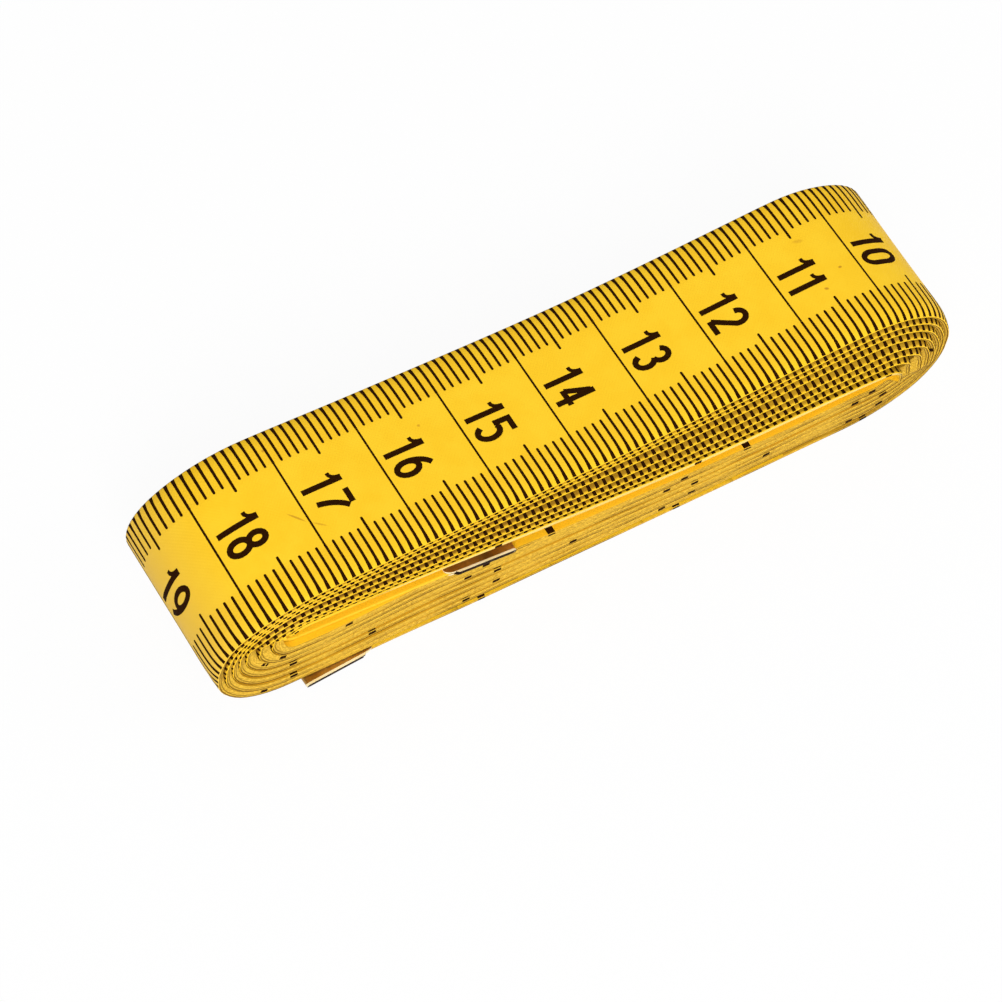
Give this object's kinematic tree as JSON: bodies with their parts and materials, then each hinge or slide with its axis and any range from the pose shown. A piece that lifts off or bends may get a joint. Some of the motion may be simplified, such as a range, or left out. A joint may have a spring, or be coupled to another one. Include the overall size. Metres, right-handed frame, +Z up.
{
  "type": "cloth tape measure",
  "caption": "Printed cloth measuring tape wound loosely into a flat oblong coil round a narrow slot, with a folded brass clip on each end.",
  "frame": {"origin": "centre of the footprint, on the plane the coil rests on", "axes": "+X along the coil's length, away from the end where the outer clip lies; +Z up, out of the face the coil rests on; Y across the tape's width"},
  "size_m": [0.0944, 0.0224, 0.0191],
  "materials": {
    "tape": "woven cloth with a satin coating",
    "clip": "polished sheet"
  },
  "bodies": {
    "coil": {"tape_coil": "tape"},
    "tail_4": {"tape_tail_4": "tape"},
    "tail_3": {"tape_tail_3": "tape"},
    "tail_2": {"tape_tail_2": "tape"},
    "tail_1": {"tape_tail_1": "tape", "outer_clip": "clip"},
    "inner_tail": {"tape_inner_tail": "tape", "inner_clip": "clip"}
  },
  "joints": [
    {"name": "tail_bend_4", "type": "hinge", "parent": "coil", "child": "tail_4", "pos_m": [0.01321, 0.00052, 0.0002], "axis": [0, -1, 0], "range_deg": [0, 25]},
    {"name": "tail_bend_3", "type": "hinge", "parent": "tail_4", "child": "tail_3", "pos_m": [0.00121, 0.00053, 0.0002], "axis": [0, -1, 0], "range_deg": [0, 25]},
    {"name": "tail_bend_2", "type": "hinge", "parent": "tail_3", "child": "tail_2", "pos_m": [-0.01079, 0.00053, 0.0002], "axis": [0, -1, 0], "range_deg": [0, 25]},
    {"name": "tail_bend_1", "type": "hinge", "parent": "tail_2", "child": "tail_1", "pos_m": [-0.02279, 0.00054, 0.00046], "axis": [0, -1, 0], "range_deg": [0, 25]},
    {"name": "inner_bend", "type": "hinge", "parent": "coil", "child": "inner_tail", "pos_m": [-0.03588, 0.00086, 0.00866], "axis": [0, -1, 0], "range_deg": [0, 4]}
  ],
  "couplings": [
    {"joint": "tail_bend_3", "follows": "tail_bend_4", "ratio": 1},
    {"joint": "tail_bend_2", "follows": "tail_bend_4", "ratio": 1},
    {"joint": "tail_bend_1", "follows": "tail_bend_4", "ratio": 1}
  ]
}
